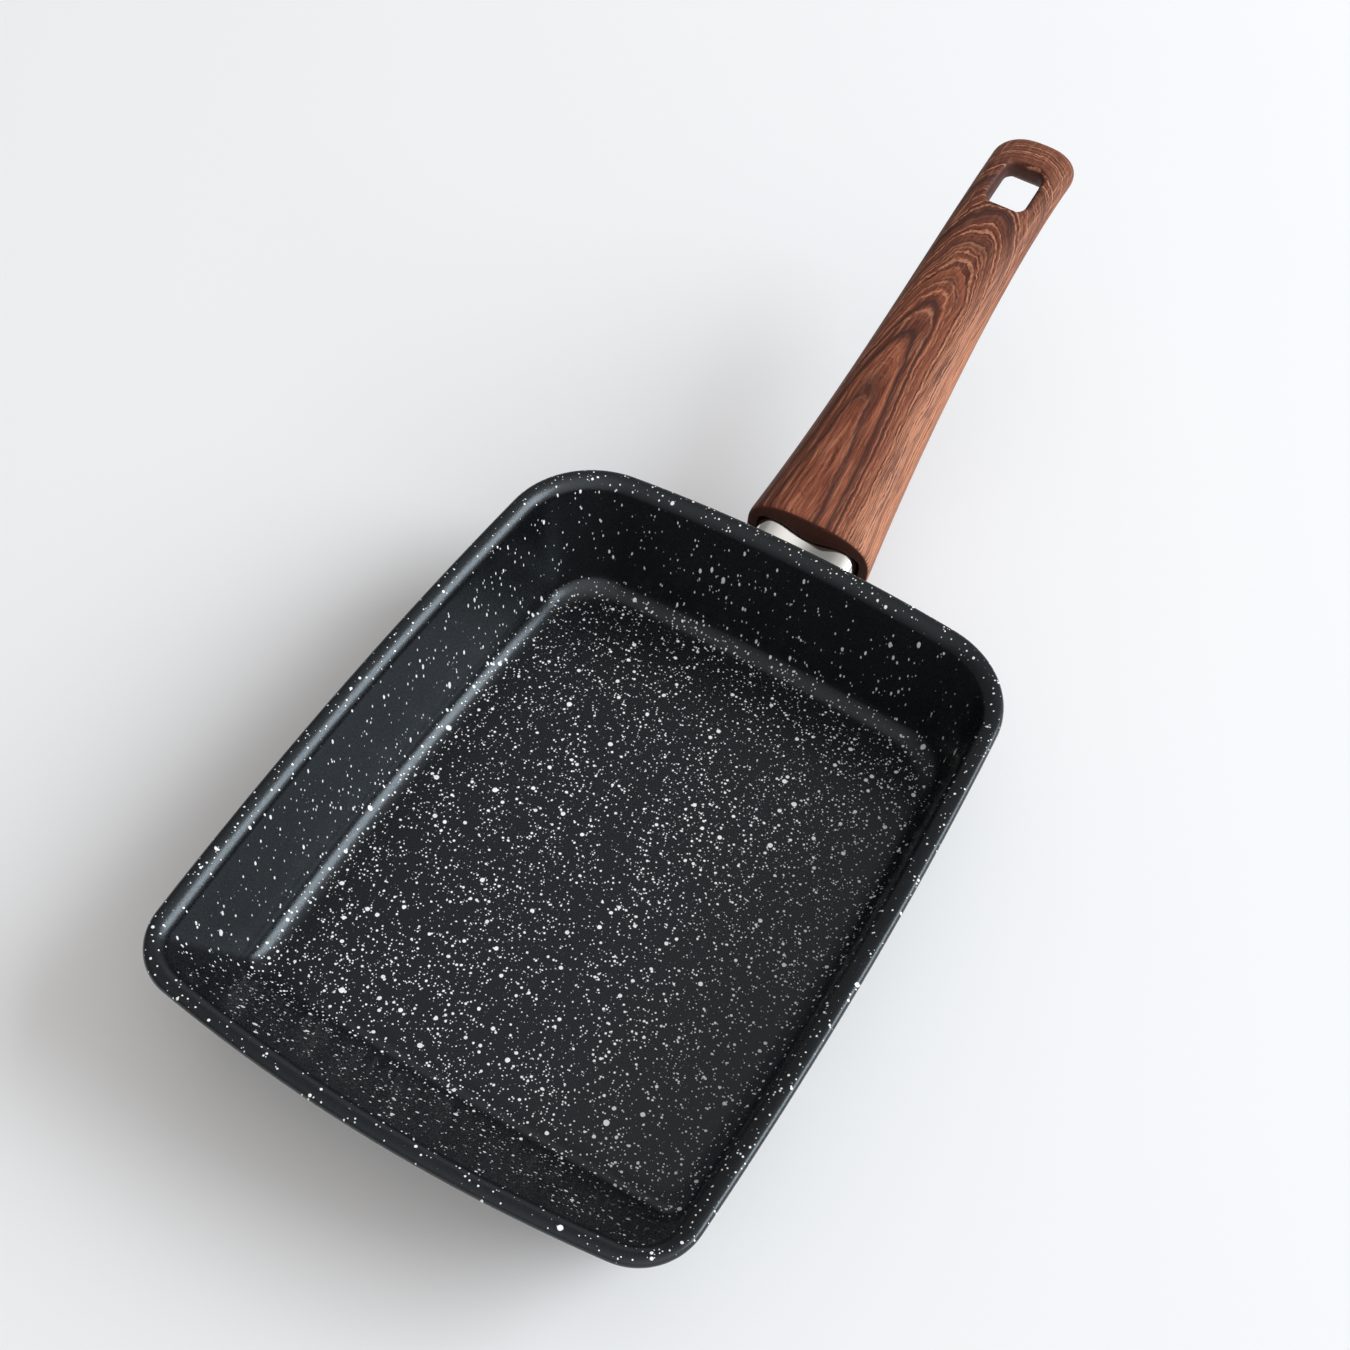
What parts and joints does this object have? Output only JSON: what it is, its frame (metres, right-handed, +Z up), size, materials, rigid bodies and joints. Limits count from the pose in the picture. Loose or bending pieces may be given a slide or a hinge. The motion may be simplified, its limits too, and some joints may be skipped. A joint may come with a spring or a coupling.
{
  "type": "rectangular frying pan",
  "caption": "Shallow rectangular frying pan with a flared lip, one sloping end wall, a polished steel bracket and a long fixed wood-grain handle with a hanging hole.",
  "frame": {"origin": "on the underside of the base, below the middle of the rim", "axes": "+X along the pan towards the handle, +Y across to the left when looking from the front along +X, +Z up"},
  "size_m": [0.3535, 0.1506, 0.0792],
  "materials": {
    "speckled_coating": "sheet aluminium under a satin near-black non-stick coating with white specks",
    "polished_steel": "mirror-polished stainless steel",
    "wood_grain": "moulded heat-resistant plastic with a reddish-brown wood-grain finish, semi-gloss",
    "stud_aluminium": "bare",
    "plated_steel": "plated",
    "insert_brass": "turned"
  },
  "bodies": {
    "root": {"pan_body": "speckled_coating", "handle_bracket": "polished_steel", "weld_stud_left": "stud_aluminium", "weld_stud_right": "stud_aluminium", "stud_washer_left": "plated_steel", "stud_washer_right": "plated_steel", "stud_nut_left": "plated_steel", "stud_nut_right": "plated_steel", "handle": "wood_grain", "handle_screw": "plated_steel", "screw_washer": "plated_steel", "handle_insert": "insert_brass"}
  },
  "joints": []
}
